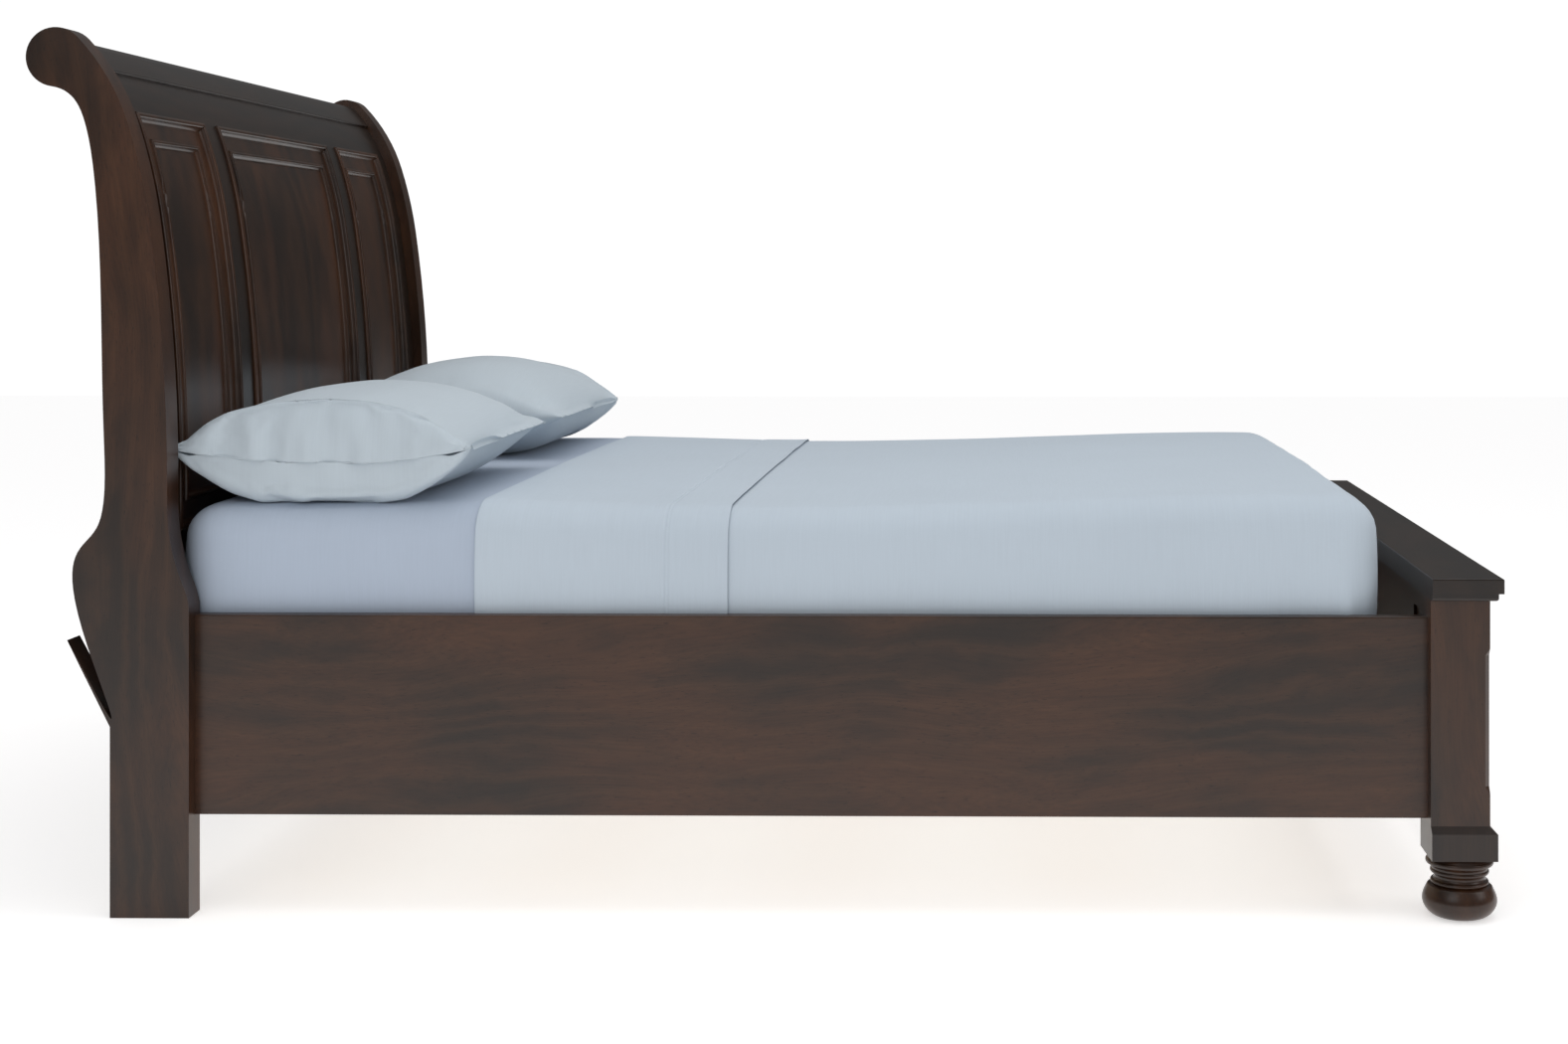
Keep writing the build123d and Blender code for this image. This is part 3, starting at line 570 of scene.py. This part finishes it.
def make_mattress():
    """Mattress with a quilted cover and a taped edge round its top and bottom."""
    xs = spaced(BED_LOW[0], BED_HIGH[0], 0.020)
    ys = spaced(BED_LOW[1], BED_HIGH[1], 0.020)
    zs = spaced(BED_LOW[2], BED_HIGH[2], 0.0125)
    box_points, quads = box_lattice(xs, ys, zs)
    spots = bed_form(box_points, -0.0035)
    x, y, z = spots.T
    quilting = np.abs(np.sin(24 * (x + y) + 30 * z)) * np.abs(np.sin(24 * (x - y) - 30 * z))
    spots = bed_form(box_points, -0.0055 + 0.0025 * np.sqrt(quilting))
    cover = fabric("mattress_knit", (0.80, 0.80, 0.77), pitch=0.0022, weave=0.5)
    piece = make_piece("mattress_cover", spots, quads, "mattress", cover)
    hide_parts("mattress")
    tape = fabric("mattress_tape", (0.60, 0.63, 0.66), pitch=0.003, weave=0.6)
    for name, height in (("mattress_tape_low", 0.030), ("mattress_tape_high", 0.215)):
        bead = edge_tape(name, BED_LOW, BED_HIGH, BED_LOW[2] + height, EDGE_ROUND, 0.0036, -0.0082, tape)
        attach(bead, "mattress")


def edge_tape(name, low, high, z, corner, radius, out, material):
    """Sewn tape: a slim tube that runs round a rounded block at height z."""
    loop = []
    steps = 10
    centres = [(high[0] - corner, high[1] - corner, 0), (low[0] + corner, high[1] - corner, 90),
               (low[0] + corner, low[1] + corner, 180), (high[0] - corner, low[1] + corner, 270)]
    rise = (z - BED_LOW[2]) / BED_RISE
    swell = BARREL * math.sin(math.pi * rise) if 0 < rise < 1 else 0.0
    for cx, cy, start in centres:
        for step in range(steps + 1):
            angle = math.radians(start + 90 * step / steps)
            reach = corner + out + swell
            loop.append((cx + reach * math.cos(angle), cy + reach * math.sin(angle), z))
    sides = 8
    count = len(loop)
    points = []
    for i, spot in enumerate(loop):
        ahead = Vector(loop[(i + 1) % count]) - Vector(loop[i - 1])
        outward = ahead.normalized().cross(Vector((0, 0, 1)))
        for side in range(sides):
            angle = 2 * math.pi * side / sides
            points.append(Vector(spot) + outward * radius * math.cos(angle)
                          + Vector((0, 0, radius * 1.6 * math.sin(angle))))
    quads = []
    for i in range(count):
        for side in range(sides):
            after, beside = (i + 1) % count, (side + 1) % sides
            quads.append((i * sides + side, after * sides + side,
                          after * sides + beside, i * sides + beside))
    mesh = bpy.data.meshes.new(name)
    mesh.from_pydata([tuple(p) for p in points], [], quads)
    mesh.polygons.foreach_set("use_smooth", [True] * len(mesh.polygons))
    mesh.materials.append(material)
    tape = bpy.data.objects.new(name, mesh)
    scene.collection.objects.link(tape)
    return tape


def make_sheets():
    """Fitted sheet, top sheet with its turned-back cuff, and the coverlet between them."""
    fitted_cloth = fabric("fitted_sheet_cotton", (0.435, 0.50, 0.60), sheen=0.08)
    top_cloth = fabric("top_sheet_cotton", (0.505, 0.575, 0.645), sheen=0.10)
    coverlet_cloth = fabric("coverlet_cotton", (0.505, 0.575, 0.645), sheen=0.10)

    spots, quads = shell_points(BED_LOW[0], FITTED_OUT, fitted_detail, head_open=False)
    fitted = make_piece("fitted_sheet_cloth", spots, quads, "mattress", fitted_cloth)
    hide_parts("fitted_sheet")

    start_x = FOLD_X + 0.004
    spots, quads = shell_points(start_x, SHEET_OUT)
    roll = (CUFF_OUT - SHEET_OUT) / 2
    stations = [(start_x, SHEET_OUT)]
    for step in range(9):
        angle = math.pi * step / 8
        fold_x = FOLD_X + roll - roll * 1.4 * math.sin(angle)
        stations.append((fold_x, SHEET_OUT + roll * (1 - math.cos(angle))))
    stitch_x = CUFF_X - HEM_DEPTH
    fine = [stitch_x + offset for offset in np.arange(-0.0096, 0.0097, 0.0016)]
    plain = [x for x in spaced(start_x, CUFF_X, PITCH) if abs(x - stitch_x) > 0.011]
    stations += [(x, CUFF_OUT) for x in sorted(plain + fine)]
    cuff_spots, cuff_quads = strip_across(stations, hem_detail_inside(FOLD_X + 0.03))
    points = np.vstack([spots, cuff_spots])
    faces = quads + [[index + len(spots) for index in quad] for quad in cuff_quads]
    top = make_piece("top_sheet_cloth", points, faces, "mattress", top_cloth, weld=0.0002)
    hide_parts("top_sheet")

    spots, quads = shell_points(FOLD_X + 0.006, COVERLET_OUT, coverlet_detail)
    cover = make_piece("coverlet_cloth", spots, quads, "mattress", coverlet_cloth)
    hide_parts("coverlet")


def hem_detail_inside(full_x):
    """The hem's detail, faded out towards the fold, where the cuff meets the sheet below it."""
    def detail(spots):
        return hem_detail(spots) * smooth(full_x - 0.03, full_x, spots[:, 0])
    return detail


def coverlet_detail(spots):
    """Folds of the top layer, held back under the cuff."""
    free = smooth(CUFF_X - 0.05, CUFF_X + 0.05, spots[:, 0])
    return (taut_folds(spots) + corner_pleat(spots)) * free


def make_box_spring():
    """Box spring in ticking, with a taped edge."""
    low, high = (np.array(corner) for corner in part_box("box_spring"))
    xs = spaced(low[0], high[0], 0.03)
    ys = spaced(low[1], high[1], 0.03)
    zs = spaced(low[2], high[2], 0.015)
    box_points, quads = box_lattice(xs, ys, zs)
    radii = np.array([0.035, 0.035, 0.012])
    inner = np.clip(box_points, low + radii, high - radii)
    unit = (box_points - inner) / radii
    unit /= np.linalg.norm(unit, axis=1, keepdims=True)
    spots = inner + unit * radii
    rise = (spots[:, 2] - low[2]) / (high[2] - low[2])
    hollow = -0.003 * np.sin(np.pi * rise) + 0.0012 * rough(spots, (9, 9, 3), 71.0)
    spots += unit * (hollow * np.linalg.norm(unit[:, :2], axis=1))[:, None] * np.array([1, 1, 0])
    ticking = fabric("box_spring_ticking", (0.66, 0.66, 0.63), pitch=0.0025, weave=0.6)
    piece = make_piece("box_spring_cover", spots, quads, "box_spring", ticking)
    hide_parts("box_spring")
    tape = fabric("box_spring_tape", (0.42, 0.44, 0.46), pitch=0.003, weave=0.6)
    for name, z in (("box_spring_tape_low", low[2] + 0.014), ("box_spring_tape_high", high[2] - 0.014)):
        bead = edge_tape(name, low, high, z, 0.035, 0.003, -0.0030, tape)
        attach(bead, "box_spring")


# ---------------------------------------------------------------- pillows
CLOTH_FRAMES = 20


def settle_cloth(piece, pressure, slack, cap, floor_z):
    """Lets a filled cover find its own folds. No point moves further than cap or under floor_z."""
    mesh = piece.data
    before = np.array([vertex.co for vertex in mesh.vertices])
    cloth = piece.modifiers.new("cloth", "CLOTH")
    settings = cloth.settings
    settings.quality = 5
    settings.mass = 0.12
    settings.tension_stiffness = 20
    settings.compression_stiffness = 20
    settings.shear_stiffness = 8
    settings.bending_stiffness = 0.15
    settings.shrink_min = -slack
    settings.use_pressure = True
    settings.uniform_pressure_force = pressure
    settings.effector_weights.gravity = 0
    cloth.collision_settings.use_collision = False
    cloth.point_cache.frame_end = CLOTH_FRAMES
    for step in range(1, CLOTH_FRAMES + 1):
        scene.frame_set(step)
    settled = piece.evaluated_get(bpy.context.evaluated_depsgraph_get())
    after = np.array([vertex.co for vertex in settled.data.vertices])
    piece.modifiers.remove(cloth)
    scene.frame_set(1)
    move = after - before
    length = np.linalg.norm(move, axis=1, keepdims=True)
    move *= np.minimum(1, cap / np.maximum(length, 1e-9))
    spots = before + move
    spots[:, 2] = np.maximum(spots[:, 2], np.minimum(before[:, 2], floor_z))
    mesh.vertices.foreach_set("co", spots.astype(np.float32).ravel())
    mesh.update()


PILLOW_COLUMNS = 121
# Where the hem's band starts along the pillow, which runs from -1 at the open end to 1
BAND_START = -0.90


def pillow_profile(u, sizes):
    """Closed loop of (v, height) stations round a pillow's length, at u across it.

    It runs from the sewn end over the top to the open end, where the upper hem droops over
    a slit, goes into the slit and out again, and comes back along the underside.
    """
    lift, drop, seam_z, rest_z = sizes
    full = max(1 - abs(u) ** 2.1, 0.0) ** 0.66
    side = 1 - abs(u)
    crown = lift * full
    depth = drop * full
    slit_z = seam_z - 0.021 * (1 - u * u) ** 0.9
    gap = 0.0015 + 0.007 * math.exp(-(((abs(u) - 0.90) / 0.07) ** 2)) * min(1, side * 30)
    stations = []

    def under(z):
        return rest_z + 0.5 * ((z - rest_z) + math.sqrt((z - rest_z) ** 2 + 0.0075 ** 2))

    for v in np.linspace(1, BAND_START, 74):
        ends = max(1 - abs(v) ** 3.0, 0.0) ** 0.5 if v > 0 else 1 - 0.26 * abs(v) ** 2.4
        stations.append((v, seam_z + crown * ends, "top"))
    top_z = seam_z + crown * (1 - 0.26 * abs(BAND_START) ** 2.4)
    for t in np.linspace(0.05, 1, 26):
        bulge = math.sin(t * math.pi / 2)
        fall = (1 - math.cos(t * math.pi / 2)) ** 0.75
        stations.append((BAND_START - 0.098 * bulge ** 0.8, top_z + (slit_z - top_z) * fall, "band"))
    for v in (-0.992, -0.975, -0.95, -0.93):
        stations.append((v, slit_z + 0.002, "in"))
    low_edge = slit_z - gap
    for v in (-0.93, -0.95, -0.975, -0.985):
        stations.append((v, low_edge + 0.001, "in"))
    floor_z = under(seam_z - depth)
    for t in np.linspace(0.0, 1, 26):
        turn = t * math.pi / 2
        v = -0.989 + 0.115 * (1 - math.cos(turn)) ** 1.3
        stations.append((v, low_edge + (floor_z - low_edge) * math.sin(turn) ** 1.1, "lip"))
    for v in np.linspace(-0.84, 1, 60)[:-1]:
        ends = max(1 - abs(v) ** 3.0, 0.0) ** 0.5 if v > 0 else 1 - 0.10 * abs(v) ** 2.4
        stations.append((v, under(seam_z - depth * ends), "under"))
    return stations


def make_pillow(node, open_way, lift, seed):
    """A pillow in an open-ended case. open_way is the side its open end faces, -1 or 1 in Y."""
    low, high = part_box(node)
    centre = (low + high) / 2
    half_x, half_y = (high.x - low.x) / 2 + 0.004, (high.y - low.y) / 2 + 0.004
    rest_z = low.z - 0.002
    seam_z = centre.z - 0.002
    sizes = (lift, seam_z - rest_z + 0.022, seam_z, rest_z)
    even = np.linspace(-1, 1, PILLOW_COLUMNS)
    rows = np.sin(even * math.pi / 2) * 0.35 + even * 0.65
    points, kinds = [], []
    for u in rows:
        for v, z, kind in pillow_profile(u, sizes):
            waist = 1 - 0.035 * (1 - v * v) * abs(u) ** 3
            pulled = 1 - 0.030 * (1 - u * u) * (v > 0) * abs(v) ** 3
            points.append((centre.x + half_x * u * waist, centre.y - open_way * half_y * v * pulled, z))
            kinds.append(kind)
    count = len(points) // PILLOW_COLUMNS
    points = np.array(points)
    kinds = np.array(kinds)
    u = np.repeat(rows, count)
    v = (centre.y - points[:, 1]) / half_y * open_way
    flat = 1 - np.abs(u) ** 6
    band, lip, top = kinds == "band", kinds == "lip", kinds == "top"
    band_depth = smooth(BAND_START, -0.985, v)
    folds = rough(points, (22.0, 3.0, 9.0), seed) * 0.6 + rough(points, (38.0, 2.0, 14.0), seed + 5) * 0.4
    points[:, 1] += open_way * np.where(band, 0.013 * band_depth * folds * flat, 0)
    points[:, 1] += open_way * np.where(lip, 0.006 * rough(points, (24.0, 2.0, 9.0), seed + 9) * flat, 0)
    points[:, 2] += np.where(band, 0.004 * band_depth * rough(points, (16.0, 1.0, 1.0), seed + 11) * flat, 0)
    soft = 0.0035 * rough(points, (5.0, 3.5, 3.0), seed + 3)
    soft += 0.0016 * rough(points, (16.0, 4.0, 6.0), seed + 7)
    pulls = 0.0022 * np.sin(26 * np.abs(u) + 9 * v)
    pulls = pulls * bump_at(1.0, 0.35, np.abs(u)) * smooth(0.2, 0.9, np.abs(v))
    points[:, 2] += np.where(top, (soft + pulls) * flat, 0)
    stitch = bump_at(-0.893, 0.008, v) * top - 0.7 * bump_at(-0.915, 0.010, v) * (top | band)
    points[:, 2] -= 0.0024 * stitch * flat
    quads = grid_quads(PILLOW_COLUMNS, count, wrap=True)
    cloth = fabric("case_" + node, (0.50, 0.565, 0.615), sheen=0.12, weave=0.2)
    piece = make_piece(node + "_case", points, quads, node, cloth, weld=0.0006)
    settle_cloth(piece, pressure=1.2, slack=0.012, cap=0.007, floor_z=rest_z + 0.001)
    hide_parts(node)


make_mattress()
make_sheets()
make_box_spring()
make_pillow("pillow_left", -1, 0.107, 13.0)
make_pillow("pillow_right", 1, 0.118, 47.0)
